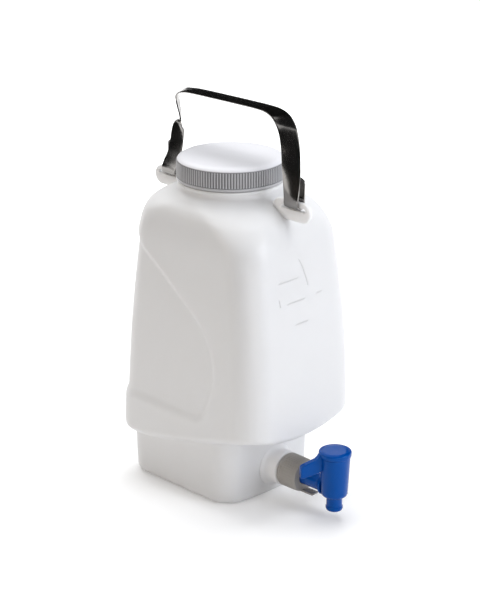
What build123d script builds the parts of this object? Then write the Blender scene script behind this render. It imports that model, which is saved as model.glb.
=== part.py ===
from build123d import *
import math
import os

# Five litre detergent dispenser bottle: blow-moulded body with a foot, screw cap, strap handle and plug tap.
# Millimetres. The origin is on the table under the neck's axis, +Z is up and the tap points to -Y.
# The handle's two ears stand on the Y axis, one in front and one behind the neck.
os.makedirs("parts", exist_ok=True)

# ---- driving sizes -------------------------------------------------------------------------------
total_height = 325.0      # table to the top of the cap
body_width = 148.0        # across the belly, along X
belly_front = 98.5        # neck axis to the belly's front face
belly_back = 89.0         # neck axis to the belly's back face
shoulder_drop = 44.0      # neck rim down to the top of the shoulder
wall = 2.4                # blow-moulded wall
belly_corner = 28.0       # upright corner radius of the belly
foot_half_width = 61.0
foot_front = 50.0         # neck axis to the foot's front corners
foot_bow = 9.0            # how far the foot's front face bulges between its corners
foot_back = 87.0
foot_front_corner = 19.0
foot_back_corner = 26.0
foot_draft = 1.2          # degrees, the foot narrows downwards
foot_edge = 7.0           # bottom edge radius
foot_lap = 6.0            # how far the foot runs up inside the belly
undercut_back_z = 48.0    # belly's lower edge at the back
undercut_front_z = 77.0   # and at the front, where it overhangs the tap
recess_depth = 2.6        # step of the side and back panel
recess_bottom_z = 90.0
recess_front = 47.0       # neck axis to the panel's front edge
recess_side = 82.0        # upright run of that edge, before it arches back
recess_slope = 0.726      # rise of the arch for each millimetre towards the back
recess_arch_radius = 70.0
recess_toe_radius = 25.0
neck_flare = 3.0          # how far the foot of the neck stands out from the threaded part
neck_foot_drop = 24.2     # rim down to where the shoulder meets the foot of the neck
bead_height = 2.4         # support bead round the neck, just under the cap
bead_reach = 3.8          # and how far it stands out from the threaded part
bead_gap = 1.0            # bead to the cap

cap_diameter = 102.6
cap_height = 19.0
cap_top_thickness = 2.5
cap_skirt_thickness = 2.2
cap_rib_count = 120
cap_rib_height = 0.6
cap_band_height = 2.6
liner_thickness = 1.5
thread_pitch = 6.0
thread_turns = 1.6
thread_width = 2.2        # axial width of a thread ridge at its root
thread_depth = 1.6
thread_clearance = 0.5    # crest to root, and skirt to neck
thread_rim_gap = 3.5      # rim down to the end of the thread
thread_sink = 0.3         # how deep a ridge's root lies in the wall that carries it

strap_width = 17.0
strap_thickness = 1.2
handle_height = 83.0      # ear slot to the middle of the bar
ear_thickness = 5.0
ear_web = 5.0             # the bar of the ear that the strap loops round
ear_reach = 101.0         # neck axis to the ear's outer end
ear_height = 24.5
ear_sink = 0.4            # how deep the ear's root lies in the neck
ear_drop = 24.0           # neck rim down to the strap's pivot
slot_inner = 66.0
slot_outer = 95.5
slot_height = 3.1
strap_gap = 1.3           # strap to the ear's bar

port_height = 30.0        # tap inlet above the table
port_bore = 7.5           # radius
port_thread_radius = 11.0
port_collar_radius = 17.0
collar_front = 74.6       # neck axis to the port collar's face
port_end = 88.5           # neck axis to the threaded port's end
port_sink = 6.0           # how far the collar runs back into the foot
port_pitch = 3.0
port_turns = 2.5
port_thread_depth = 0.9
port_thread_width = 1.3
port_thread_clearance = 0.3
gasket_thickness = 2.0
flange_thickness = 3.0
nut_radius = 16.5
nut_length = 22.5
nut_rib_count = 36
nut_rib_height = 0.6
nut_gap = 0.9             # nut to the collar's face
nut_chamfer = 1.2
nut_play = 0.2            # nut's counterbore round the flange
tongue_length = 13.0      # the locking tongue, beyond the nut
tongue_width = 9.0
tongue_thickness = 2.0
tongue_root = 4.0         # its length inside the nut's end wall

tap_reach = 135.0         # neck axis to the tap's own upright axis
barrel_radius = 8.0
tap_bore = 4.4            # radius of the way through barrel and plug
housing_top_radius = 14.6
housing_low_radius = 12.6
housing_top_z = 63.0
housing_low_z = 22.0
housing_round = 4.5       # height of the housing's turned-in lower edge
housing_step = 2.6        # and how far it turns in
seat_clearance = 0.6      # seat's floor to the bottom of the way in
outlet_radius = 7.6
outlet_bore = 5.0
outlet_end_z = 8.0
outlet_bead = 0.2         # a low bead near the outlet's end keeps a hose on
outlet_bead_height = 2.4
outlet_bead_lift = 1.5
plug_radius = 10.0
plug_clearance = 0.05
knob_radius = 15.5
knob_thickness = 5.2
knob_gap = 0.3            # knob's underside to the housing's top
knob_edge = 1.2           # edge radius of the disc
lever_length = 33.0
lever_width = 6.6
lever_skirt = 12.4
lever_turn = 59.0         # degrees from the barrel, towards -X, as the tap stands
lever_fall = 7.0          # drop of the lever's top from the disc's underside to its end
ring_section = 1.0        # O-ring section radius
ring_squeeze = 0.05       # the groove is that much shallower than the ring
ring_slack = 0.02
ring_drop = 6.0           # housing's top down to the upper O-ring
ring_lift = 4.0           # the waterway's top up to the lower O-ring
lap = 0.1                 # overlap that joins two masses of one piece
cut = 1.0                 # how far a cutting shape runs past the face it opens

# ---- heights worked out from the above -----------------------------------------------------------
rim_z = total_height - cap_top_thickness - liner_thickness
cap_bottom_z = total_height - cap_height
neck_radius = cap_diameter / 2 - cap_rib_height - cap_skirt_thickness - thread_depth - thread_clearance
neck_bore = neck_radius - wall
shoulder_top_z = rim_z - shoulder_drop
pivot_z = rim_z - ear_drop
body_half = body_width / 2
belly_low_z = undercut_back_z - 4.0      # where the loft starts, below the cut underside
bead_low_z = cap_bottom_z - bead_gap - bead_height
neck_foot_z = bead_low_z - 1.6


def station(z, half, front, back, corner):
    """One level cross-section of the body: a rounded rectangle set off towards the front."""
    with BuildSketch(Plane.XY.offset(z)) as level:
        with Locations((0, (back - front) / 2)):
            RectangleRounded(2 * half, front + back, corner)
    return level.sketch


def belly_form(inset):
    """The smooth body from under the belly to the neck, every face moved inwards by inset."""
    rise = shoulder_top_z - belly_low_z
    levels = [
        # share of the height from belly to shoulder, width, front, back, corner beyond the belly's
        (0.00, 0.0, 0.5, 0.5, 0.0),
        (0.12, 0.0, 0.0, 1.0, 0.0),
        (0.30, 0.5, 0.0, 2.5, 0.0),
        (0.48, 1.5, 2.0, 5.5, 0.0),
        (0.66, 3.0, 6.0, 9.5, 0.0),
        (0.82, 4.5, 11.0, 13.5, 1.0),
        (0.93, 5.5, 14.5, 16.5, 4.0),
        (1.00, 7.0, 22.5, 17.5, 9.0),
        (1.04, 10.0, 34.0, 19.0, 15.0),
        (1.07, 14.0, 43.5, 24.0, 21.0),
    ]
    sections = []
    for share, in_side, in_front, in_back, round_up in levels:
        sections.append(station(
            belly_low_z + share * rise,
            body_half - in_side - inset,
            belly_front - in_front - inset,
            belly_back - in_back - inset,
            belly_corner + round_up - inset,
        ))
    neck_foot = neck_radius + neck_flare - inset
    low_foot = neck_foot + 1.0
    sections.append(station(rim_z - neck_foot_drop, low_foot, low_foot, low_foot, low_foot - lap))
    sections.append(station(neck_foot_z - inset, neck_foot, neck_foot, neck_foot, neck_foot - lap))
    with BuildPart() as form:
        for section in sections:
            add(section)
        loft()
        # The underside: level behind, rising towards the front.
        with BuildSketch(Plane.YZ) as under:
            with BuildLine():
                Polyline(
                    (2 * belly_back, undercut_back_z + inset),
                    (belly_back / 2, undercut_back_z + inset),
                    (-belly_front, undercut_front_z + inset),
                    (-2 * belly_front, undercut_front_z + inset),
                    (-2 * belly_front, 0),
                    (2 * belly_back, 0),
                    close=True,
                )
            make_face()
        extrude(amount=2 * body_half, both=True, mode=Mode.SUBTRACT)
    return form.part


def panel_window(margin):
    """The side view of the recessed panel: an arched front edge, running out round the back."""
    arch_end_z = recess_bottom_z + recess_side + recess_slope * (2 * belly_back + recess_front)
    with BuildPart() as window:
        with BuildSketch(Plane.YZ) as outline:
            with BuildLine():
                Polyline(
                    (2 * belly_back, recess_bottom_z + margin),
                    (-recess_front + margin, recess_bottom_z + margin),
                    (-recess_front + margin, recess_bottom_z + recess_side),
                    (2 * belly_back, arch_end_z),
                    close=True,
                )
            make_face()
            fillet(outline.vertices().group_by(Axis.X)[0].sort_by(Axis.Y)[-1], radius=recess_arch_radius)
            fillet(outline.vertices().group_by(Axis.X)[0].sort_by(Axis.Y)[0], radius=recess_toe_radius)
        extrude(amount=2 * body_half, both=True)
    return window.part


def foot_form(inset):
    """The foot under the belly: three flat sides, a bowed front and a rounded bottom edge."""
    half = foot_half_width - inset
    with BuildPart() as foot:
        with BuildSketch(Plane.XY.offset(inset)) as plan:
            with BuildLine():
                ThreePointArc((-half, -foot_front + inset), (0, -foot_front - foot_bow + inset),
                              (half, -foot_front + inset))
                Polyline((half, -foot_front + inset), (half, foot_back - inset),
                         (-half, foot_back - inset), (-half, -foot_front + inset))
            make_face()
            fillet(plan.vertices().group_by(Axis.Y)[0], radius=foot_front_corner - inset)
            fillet(plan.vertices().group_by(Axis.Y)[-1], radius=foot_back_corner - inset)
        extrude(amount=undercut_front_z + foot_lap - inset, taper=-foot_draft)
        fillet(foot.faces().sort_by(Axis.Z)[0].edges(), radius=foot_edge - inset)
    return foot.part


def thread_ridge(radius, pitch, turns, depth, width, inward):
    """A helical thread ridge standing up from Z = 0, its root sunk in the wall that carries it."""
    side = -1 if inward else 1
    with BuildPart() as ridge:
        with BuildLine() as path:
            Helix(pitch=pitch, height=pitch * turns, radius=radius)
        with BuildSketch(Plane(origin=(radius, 0, 0), x_dir=(1, 0, 0), z_dir=(0, 1, 0))):
            with BuildLine():
                Polyline(
                    (-side * thread_sink, -width / 2),
                    (side * depth, -width / 5),
                    (side * depth, width / 5),
                    (-side * thread_sink, width / 2),
                    close=True,
                )
            make_face()
        sweep(path=path.wire(), is_frenet=True)
    return ridge.part


# ---- bottle body ---------------------------------------------------------------------------------
# Outer and inner forms are the same shape one wall apart; the recessed panel steps both.
outer_belly = belly_form(0)
outer_floor = belly_form(recess_depth)
inner_belly = belly_form(wall)
inner_floor = belly_form(wall + recess_depth)
outer_window = panel_window(0)
inner_window = panel_window(-wall)
outer_foot = foot_form(0)
inner_foot = foot_form(wall)
neck_thread_z = rim_z - thread_rim_gap - thread_pitch * thread_turns
neck_thread = Plane.XY.offset(neck_thread_z).location * thread_ridge(
    neck_radius, thread_pitch, thread_turns, thread_depth, thread_width, False)
port_plane = Plane(origin=(0, 0, port_height), x_dir=(1, 0, 0), z_dir=(0, -1, 0))
port_root_radius = port_thread_radius - port_thread_depth
port_thread_start = port_end - port_pitch * (port_turns + 0.5)
port_thread = port_plane.offset(port_thread_start).location * thread_ridge(
    port_root_radius, port_pitch, port_turns, port_thread_depth, port_thread_width, False)

with BuildPart() as outer_skin:
    add(outer_window)
    add(outer_floor, mode=Mode.SUBTRACT)
with BuildPart() as inner_skin:
    add(inner_window)
    add(inner_floor, mode=Mode.SUBTRACT)
with BuildPart() as cavity:
    add(inner_belly)
    add(inner_skin.part, mode=Mode.SUBTRACT)
    add(inner_foot)
    with BuildSketch(Plane.XY.offset(shoulder_top_z)):
        Circle(neck_bore)
    extrude(amount=rim_z - shoulder_top_z + cut)
    with BuildSketch(port_plane.offset(foot_front - port_sink)):
        Circle(port_bore)
    extrude(amount=port_end - foot_front + port_sink + cut)

with BuildPart() as bottle_body:
    add(outer_belly)
    add(outer_skin.part, mode=Mode.SUBTRACT)
    add(outer_foot)
    # Neck, with the support bead that shows under the cap.
    with BuildSketch(Plane.XY.offset(shoulder_top_z)):
        Circle(neck_radius)
    extrude(amount=rim_z - shoulder_top_z)
    with BuildSketch(Plane.XY.offset(bead_low_z)):
        Circle(neck_radius + bead_reach)
    extrude(amount=bead_height)
    # Port: a wide collar on the foot, then the threaded end.
    with BuildSketch(port_plane.offset(foot_front - port_sink)):
        Circle(port_collar_radius)
    extrude(amount=collar_front - foot_front + port_sink)
    with BuildSketch(port_plane.offset(foot_front)):
        Circle(port_root_radius)
    extrude(amount=port_end - foot_front)
    add(port_thread)
    # Ears: upright fins front and back, each slotted for the strap.
    ear_middle_z = pivot_z + ear_web / 2 - ear_height / 2
    ear_root = neck_radius - ear_sink
    slot_z = pivot_z - ear_web / 2 - slot_height / 2
    for side in (-1, 1):
        with BuildSketch(Plane.YZ):
            with Locations((side * (ear_reach + ear_root) / 2, ear_middle_z)):
                RectangleRounded(ear_reach - ear_root, ear_height, ear_height / 2 - lap)
            with Locations((side * (slot_inner + slot_outer) / 2, slot_z)):
                RectangleRounded(slot_outer - slot_inner, slot_height, slot_height / 2 - lap,
                                 mode=Mode.SUBTRACT)
        extrude(amount=ear_thickness / 2, both=True)
    add(cavity.part, mode=Mode.SUBTRACT)
    add(neck_thread)
bottle_body.part.label = "bottle_body"
export_step(bottle_body.part, "parts/bottle_body.step")

# ---- screw cap and its liner ---------------------------------------------------------------------
cap_skirt_radius = cap_diameter / 2 - cap_rib_height
cap_bore = cap_skirt_radius - cap_skirt_thickness
cap_thread_turns = thread_turns - 0.2
cap_thread = Plane.XY.offset(neck_thread_z + thread_pitch / 2).location * thread_ridge(
    cap_bore, thread_pitch, cap_thread_turns, thread_depth, thread_width, True)
rib_pitch = math.pi * cap_diameter / cap_rib_count
with BuildPart() as screw_cap:
    with BuildSketch(Plane.XY.offset(cap_bottom_z)):
        Circle(cap_skirt_radius)
    extrude(amount=cap_height)
    fillet(screw_cap.faces().sort_by(Axis.Z)[-1].edges(), radius=cap_top_thickness / 2)
    # Fine upright ribs over the skirt, above a plain band at the mouth.
    with BuildSketch(Plane.XY.offset(cap_bottom_z)):
        Circle(cap_diameter / 2)
        Circle(cap_skirt_radius - lap, mode=Mode.SUBTRACT)
    extrude(amount=cap_band_height)
    with BuildSketch(Plane.XY.offset(cap_bottom_z + cap_band_height - lap)):
        with PolarLocations(cap_skirt_radius + cap_rib_height / 2 - lap, cap_rib_count):
            Rectangle(cap_rib_height, rib_pitch / 2)
    extrude(amount=cap_height - cap_band_height - cap_top_thickness)
    with BuildSketch(Plane.XY.offset(cap_bottom_z)):
        Circle(cap_bore)
    extrude(amount=cap_height - cap_top_thickness, mode=Mode.SUBTRACT)
    add(cap_thread)
screw_cap.part.label = "screw_cap"
export_step(screw_cap.part, "parts/screw_cap.step")

with BuildPart() as cap_liner:
    with BuildSketch(Plane.XY.offset(rim_z)):
        Circle(cap_bore - thread_depth - thread_clearance)
    extrude(amount=liner_thickness)
cap_liner.part.label = "cap_liner"
export_step(cap_liner.part, "parts/cap_liner.step")

# ---- strap handle --------------------------------------------------------------------------------
# One stainless strap. Its bar is flat on top; each leg turns a quarter so that its end lies flat
# against the ear, passes through the slot from -X to +X and is folded up again behind the ear.
bar_z = pivot_z + handle_height
fold_radius = ear_web / 2 + strap_gap + strap_thickness / 2
bar_corner = 24.0
fold_back_y = 79.0
fold_front_y = -80.0
tail_length = 26.0
tail_rounding = 5.0
back_leg_y = 74.0
front_leg_y = -76.0


def strap_section(y, z, turn, lean, offset, side):
    """One cross-section of a leg: turn is how far the width has turned from X towards Y (degrees)."""
    width_way = Vector(math.cos(math.radians(turn)), side * math.sin(math.radians(turn)), 0)
    along = Vector(0, side * math.sin(math.radians(lean)), -math.cos(math.radians(lean)))
    along = (along - width_way * along.dot(width_way)).normalized()
    with BuildSketch(Plane(origin=(offset, y, z), x_dir=width_way, z_dir=along)) as level:
        Rectangle(strap_width, strap_thickness)
    return level.sketch


def strap_leg(stations, side):
    """A leg lofted through its stations, from the bar's corner down to the fold."""
    with BuildPart() as leg:
        for y, drop, turn, lean, offset in stations:
            add(strap_section(y, bar_z - drop, turn, lean, offset, side))
        loft()
    return leg.part


back_leg = strap_leg([
    (back_leg_y, bar_corner + 1.0, 0, 0, 0.0),
    (71.5, 31.0, 20, -10, -0.3),
    (68.5, 39.0, 44, -6, -1.0),
    (68.0, 50.0, 68, 4, -2.2),
    (70.5, 62.0, 86, 12, -3.6),
    (fold_back_y, handle_height, 90, 0, -fold_radius),
], 1)
front_leg = strap_leg([
    (front_leg_y, bar_corner + 1.0, 0, 0, 0.0),
    (-76.4, 32.0, 24, 3, -0.3),
    (-77.4, 40.0, 48, 6, -1.0),
    (-79.4, 52.0, 72, 6, -2.4),
    (-80.3, 64.0, 88, 1, -3.8),
    (fold_front_y, handle_height, 90, 0, -fold_radius),
], -1)
with BuildPart() as handle_strap:
    # Bar with its two rounded corners, drawn in side view and as wide as the strap along X.
    with BuildSketch(Plane.YZ):
        with BuildLine():
            FilletPolyline((front_leg_y, bar_z - bar_corner - 1.0), (front_leg_y, bar_z),
                           (back_leg_y, bar_z), (back_leg_y, bar_z - bar_corner - 1.0),
                           radius=bar_corner)
        trace(line_width=strap_thickness)
    extrude(amount=strap_width / 2, both=True)
    add(back_leg)
    add(front_leg)
    # The fold round each ear's bar, and the free tail behind it.
    for fold_y in (fold_back_y, fold_front_y):
        with BuildSketch(Plane.XZ.offset(-fold_y)):
            with BuildLine():
                ThreePointArc((-fold_radius, pivot_z), (0, pivot_z - fold_radius), (fold_radius, pivot_z))
                Line((fold_radius, pivot_z), (fold_radius, pivot_z + tail_length))
            trace(line_width=strap_thickness)
        extrude(amount=strap_width / 2, both=True)
    tail_corners = handle_strap.edges().filter_by(Axis.X).filter_by_position(
        Axis.Z, pivot_z + tail_length - 0.01, pivot_z + tail_length + 0.01)
    fillet(tail_corners, radius=tail_rounding)
handle_strap.part.label = "handle_strap"
export_step(handle_strap.part, "parts/handle_strap.step")

# ---- port gasket and ring nut --------------------------------------------------------------------
flange_radius = port_thread_radius + 0.6
gasket_end = port_end + gasket_thickness
flange_end = gasket_end + flange_thickness
with BuildPart() as port_gasket:
    with BuildSketch(port_plane.offset(port_end)):
        Circle(port_root_radius)
        Circle(port_bore, mode=Mode.SUBTRACT)
    extrude(amount=gasket_thickness)
port_gasket.part.label = "port_gasket"
export_step(port_gasket.part, "parts/port_gasket.step")

nut_start = collar_front + nut_gap
nut_end = nut_start + nut_length
nut_thread_radius = port_thread_radius + port_thread_clearance
nut_thread_turns = port_turns - 0.8
nut_thread = port_plane.offset(port_thread_start + port_pitch / 2).location * thread_ridge(
    nut_thread_radius, port_pitch, nut_thread_turns, port_thread_depth, port_thread_width, True)
with BuildPart() as ring_nut:
    with BuildSketch(port_plane.offset(nut_start)):
        Circle(nut_radius - nut_rib_height)
    extrude(amount=nut_length)
    chamfer(ring_nut.faces().sort_by(Axis.Y)[0].edges(), length=nut_chamfer)
    with BuildSketch(port_plane.offset(nut_start + nut_chamfer)):
        with PolarLocations(nut_radius - nut_rib_height, nut_rib_count):
            Rectangle(2 * nut_rib_height, math.pi * nut_radius / nut_rib_count)
    extrude(amount=nut_length - 2 * nut_chamfer)
    # Locking tongue that runs out under the barrel.
    with BuildSketch(port_plane.offset(nut_end - tongue_root)):
        with Locations((0, -nut_radius + nut_chamfer + tongue_thickness / 2)):
            Rectangle(tongue_width, tongue_thickness)
    extrude(amount=tongue_root + tongue_length)
    with BuildSketch(port_plane.offset(nut_start)):
        Circle(nut_thread_radius)
    extrude(amount=flange_end - nut_start, mode=Mode.SUBTRACT)
    with BuildSketch(port_plane.offset(port_end - cut)):
        Circle(flange_radius + nut_play)
    extrude(amount=flange_end - port_end + cut, mode=Mode.SUBTRACT)
    with BuildSketch(port_plane.offset(flange_end - cut)):
        Circle(barrel_radius + nut_play)
    extrude(amount=nut_length, mode=Mode.SUBTRACT)
    add(nut_thread)
ring_nut.part.label = "ring_nut"
export_step(ring_nut.part, "parts/ring_nut.step")

# ---- tap body ------------------------------------------------------------------------------------
tap_axis = Plane(origin=(0, -tap_reach, 0))
seat_floor_z = port_height - tap_bore - seat_clearance
with BuildPart() as tap_body:
    # Housing and outlet, turned about the tap's own axis.
    with BuildSketch(Plane(origin=(0, -tap_reach, 0), x_dir=(1, 0, 0), z_dir=(0, -1, 0))):
        with BuildLine():
            Polyline((0, outlet_end_z), (outlet_radius, outlet_end_z),
                     (outlet_radius, housing_low_z), (housing_low_radius - housing_step, housing_low_z),
                     (housing_low_radius, housing_low_z + housing_round),
                     (housing_top_radius, housing_top_z), (0, housing_top_z), (0, outlet_end_z))
        make_face()
    revolve(axis=Axis((0, -tap_reach, 0), (0, 0, 1)))
    with BuildSketch(tap_axis.offset(outlet_end_z + outlet_bead_lift)):
        Circle(outlet_radius + outlet_bead)
    extrude(amount=outlet_bead_height)
    # Inlet barrel with the flange that the ring nut clamps.
    with BuildSketch(port_plane.offset(gasket_end)):
        Circle(barrel_radius)
    extrude(amount=tap_reach - gasket_end)
    with BuildSketch(port_plane.offset(gasket_end)):
        Circle(flange_radius)
    extrude(amount=flange_thickness)
    with BuildSketch(port_plane.offset(gasket_end - cut)):
        Circle(tap_bore)
    extrude(amount=tap_reach - gasket_end + cut, mode=Mode.SUBTRACT)
    with BuildSketch(tap_axis.offset(seat_floor_z)):
        Circle(plug_radius)
    extrude(amount=housing_top_z, mode=Mode.SUBTRACT)
    with BuildSketch(tap_axis.offset(outlet_end_z - cut)):
        Circle(outlet_bore)
    extrude(amount=housing_top_z, mode=Mode.SUBTRACT)
tap_body.part.label = "tap_body"
export_step(tap_body.part, "parts/tap_body.step")

# ---- tap knob: plug, disc and lever in one moulding ----------------------------------------------
knob_low_z = housing_top_z + knob_gap
knob_top_z = knob_low_z + knob_thickness
plug_turned = plug_radius - plug_clearance
lever_root_z = knob_top_z - 1.6
skirt_start = housing_top_radius + 0.4      # the skirt runs clear of the housing
groove_radius = plug_turned - 2 * ring_section + ring_squeeze
groove_half = ring_section + lap
ring_heights = {"upper": housing_top_z - ring_drop, "lower": port_height + tap_bore + ring_lift}
lever_way = 90 + lever_turn
lever_plane = Plane(origin=(0, -tap_reach, 0),
                    x_dir=(math.cos(math.radians(lever_way)), math.sin(math.radians(lever_way)), 0),
                    z_dir=(math.sin(math.radians(lever_way)), -math.cos(math.radians(lever_way)), 0))
window_plane = Plane(origin=(0, -tap_reach, port_height), x_dir=lever_plane.z_dir, z_dir=lever_plane.x_dir)
with BuildPart() as tap_knob:
    with BuildSketch(tap_axis.offset(knob_low_z)):
        Circle(knob_radius)
    extrude(amount=knob_thickness)
    fillet(tap_knob.faces().sort_by(Axis.Z)[-1].edges(), radius=knob_edge)
    with BuildSketch(tap_axis.offset(seat_floor_z + knob_gap)):
        Circle(plug_turned)
    extrude(amount=knob_low_z - seat_floor_z - knob_gap)
    # Lever: a sloping top and a deep skirt, standing off the rim of the disc.
    with BuildSketch(lever_plane):
        with BuildLine():
            Polyline((housing_top_radius - 1.5, knob_low_z), (knob_radius - knob_edge / 2, lever_root_z),
                     (knob_radius + 4.0, knob_low_z - 1.6), (lever_length, knob_low_z - lever_fall),
                     (lever_length + 1.2, knob_low_z - lever_fall - lever_skirt),
                     (skirt_start + 0.5, knob_low_z - 2.6 - lever_skirt), (skirt_start, knob_low_z),
                     close=True)
        make_face()
    extrude(amount=lever_width / 2, both=True)
    # Waterway: up from the outlet and out of one side of the plug.
    with BuildSketch(tap_axis.offset(seat_floor_z)):
        Circle(outlet_bore)
    extrude(amount=port_height - seat_floor_z + tap_bore, mode=Mode.SUBTRACT)
    with BuildSketch(window_plane):
        Circle(tap_bore)
    extrude(amount=plug_radius + cut, mode=Mode.SUBTRACT)
    for ring_z in ring_heights.values():
        with BuildSketch(tap_axis.offset(ring_z - groove_half)):
            Circle(plug_radius)
            Circle(groove_radius, mode=Mode.SUBTRACT)
        extrude(amount=2 * groove_half, mode=Mode.SUBTRACT)
tap_knob.part.label = "tap_knob"
export_step(tap_knob.part, "parts/tap_knob.step")

for place, ring_z in ring_heights.items():
    with BuildPart() as o_ring:
        with BuildSketch(Plane(origin=(0, -tap_reach, 0), x_dir=(1, 0, 0), z_dir=(0, -1, 0))):
            with Locations((groove_radius + ring_section, ring_z)):
                Circle(ring_section - ring_slack)
        revolve(axis=Axis((0, -tap_reach, 0), (0, 0, 1)))
    o_ring.part.label = "plug_o_ring_" + place
    export_step(o_ring.part, "parts/plug_o_ring_" + place + ".step")
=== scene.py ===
import math

import bpy
import numpy as np
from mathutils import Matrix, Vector


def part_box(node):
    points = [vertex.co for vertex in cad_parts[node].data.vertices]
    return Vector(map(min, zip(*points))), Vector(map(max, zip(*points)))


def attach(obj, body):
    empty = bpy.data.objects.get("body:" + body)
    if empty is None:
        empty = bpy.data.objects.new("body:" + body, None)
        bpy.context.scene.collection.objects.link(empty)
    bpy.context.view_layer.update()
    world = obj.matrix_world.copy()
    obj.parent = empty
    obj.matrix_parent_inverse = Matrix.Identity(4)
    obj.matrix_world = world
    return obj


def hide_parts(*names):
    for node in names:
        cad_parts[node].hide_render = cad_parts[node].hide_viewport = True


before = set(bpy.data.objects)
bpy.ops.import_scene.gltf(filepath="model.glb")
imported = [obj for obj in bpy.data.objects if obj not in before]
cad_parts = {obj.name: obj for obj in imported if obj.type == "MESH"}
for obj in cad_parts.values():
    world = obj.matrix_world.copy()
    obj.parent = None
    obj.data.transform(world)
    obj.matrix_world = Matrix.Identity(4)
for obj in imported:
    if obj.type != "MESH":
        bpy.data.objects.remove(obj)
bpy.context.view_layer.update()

# ---- Camera ------------------------------------------------------------------------------------------
# A long lens on a stand to the left of the tap, a little above the handle and looking down at the belly.
camera_place = Vector((-1.157, -1.129, 0.781))
camera_turn = -46.0     # degrees from looking along +Y
camera_dip = 20.3       # degrees below level
camera_data = bpy.data.cameras.new("stand_camera")
camera_data.sensor_width = 36.0
camera_data.lens = 108.0
camera_data.clip_end = 50.0
camera = bpy.data.objects.new("stand_camera", camera_data)
camera.location = camera_place
camera.rotation_euler = (math.radians(90 - camera_dip), 0, math.radians(camera_turn))
bpy.context.scene.collection.objects.link(camera)
bpy.context.scene.camera = camera
bpy.context.scene.view_settings.view_transform = "Standard"

# ---- Studio ------------------------------------------------------------------------------------------
# A white floor in a pale room, under an overhead softbox that polished parts don't mirror, a cool one on
# the tap's side, a weak warm one on the left and a small fill at the foot. Black cards all round the
# object, which only glossy surfaces see, give the polished strap something dark to reflect.
floor_reach = 6.0
floor_albedo = 0.80
floor_lift = 0.23        # light that the camera sees added to the floor, so that it reads as white
floor_far_lift = 0.8     # the same from floor_fade_end outwards
floor_fade_start, floor_fade_end = 0.28, 0.9
floor_drop = 0.0002      # keeps the floor clear of the foot
bpy.ops.object.select_all(action="DESELECT")
bpy.ops.mesh.primitive_plane_add(size=2 * floor_reach, location=(0, 0, -floor_drop))
floor = bpy.context.object
floor.name = "studio_floor"
floor_finish = bpy.data.materials.new("white_floor")
floor_finish.use_nodes = True
tree = floor_finish.node_tree
tree.nodes.clear()
floor_out = tree.nodes.new("ShaderNodeOutputMaterial")
floor_sum = tree.nodes.new("ShaderNodeAddShader")
floor_paint = tree.nodes.new("ShaderNodeBsdfDiffuse")
floor_paint.inputs["Color"].default_value = (floor_albedo, floor_albedo, floor_albedo, 1)
floor_glow = tree.nodes.new("ShaderNodeEmission")
floor_rays = tree.nodes.new("ShaderNodeLightPath")
floor_seen = tree.nodes.new("ShaderNodeMath")
floor_seen.operation = "MAXIMUM"
floor_place = tree.nodes.new("ShaderNodeTexCoord")
floor_distance = tree.nodes.new("ShaderNodeVectorMath")
floor_distance.operation = "LENGTH"
floor_fade = tree.nodes.new("ShaderNodeMapRange")
floor_fade.interpolation_type = "SMOOTHSTEP"
floor_fade.inputs["From Min"].default_value = floor_fade_start
floor_fade.inputs["From Max"].default_value = floor_fade_end
floor_fade.inputs["To Min"].default_value = floor_lift
floor_fade.inputs["To Max"].default_value = floor_far_lift
floor_strength = tree.nodes.new("ShaderNodeMath")
floor_strength.operation = "MULTIPLY"
tree.links.new(floor_rays.outputs["Is Camera Ray"], floor_seen.inputs[0])
tree.links.new(floor_rays.outputs["Is Glossy Ray"], floor_seen.inputs[1])
tree.links.new(floor_place.outputs["Object"], floor_distance.inputs[0])
tree.links.new(floor_distance.outputs["Value"], floor_fade.inputs["Value"])
tree.links.new(floor_seen.outputs[0], floor_strength.inputs[0])
tree.links.new(floor_fade.outputs["Result"], floor_strength.inputs[1])
tree.links.new(floor_strength.outputs[0], floor_glow.inputs["Strength"])
tree.links.new(floor_paint.outputs[0], floor_sum.inputs[0])
tree.links.new(floor_glow.outputs[0], floor_sum.inputs[1])
tree.links.new(floor_sum.outputs[0], floor_out.inputs["Surface"])
floor.data.materials.append(floor_finish)

ambient = 0.32           # strength of the room's even light
world = bpy.data.worlds.new("studio")
bpy.context.scene.world = world
world.use_nodes = True
tree = world.node_tree
tree.nodes.clear()
world_out = tree.nodes.new("ShaderNodeOutputWorld")
world_rays = tree.nodes.new("ShaderNodeLightPath")
world_seen = tree.nodes.new("ShaderNodeMath")
world_seen.operation = "MAXIMUM"
world_clear = tree.nodes.new("ShaderNodeMath")
world_clear.operation = "MAXIMUM"
world_mix = tree.nodes.new("ShaderNodeMixShader")
world_room = tree.nodes.new("ShaderNodeBackground")
world_room.inputs["Strength"].default_value = ambient
world_white = tree.nodes.new("ShaderNodeBackground")
world_white.inputs["Color"].default_value = (1, 1, 1, 1)
world_white.inputs["Strength"].default_value = 1.0
world_room.inputs["Color"].default_value = (1, 1, 1, 1)
tree.links.new(world_rays.outputs["Is Camera Ray"], world_seen.inputs[0])
tree.links.new(world_rays.outputs["Is Glossy Ray"], world_seen.inputs[1])
tree.links.new(world_seen.outputs[0], world_clear.inputs[0])
tree.links.new(world_rays.outputs["Is Transmission Ray"], world_clear.inputs[1])
tree.links.new(world_clear.outputs[0], world_mix.inputs["Fac"])
tree.links.new(world_room.outputs[0], world_mix.inputs[1])
tree.links.new(world_white.outputs[0], world_mix.inputs[2])
tree.links.new(world_mix.outputs[0], world_out.inputs["Surface"])


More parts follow.
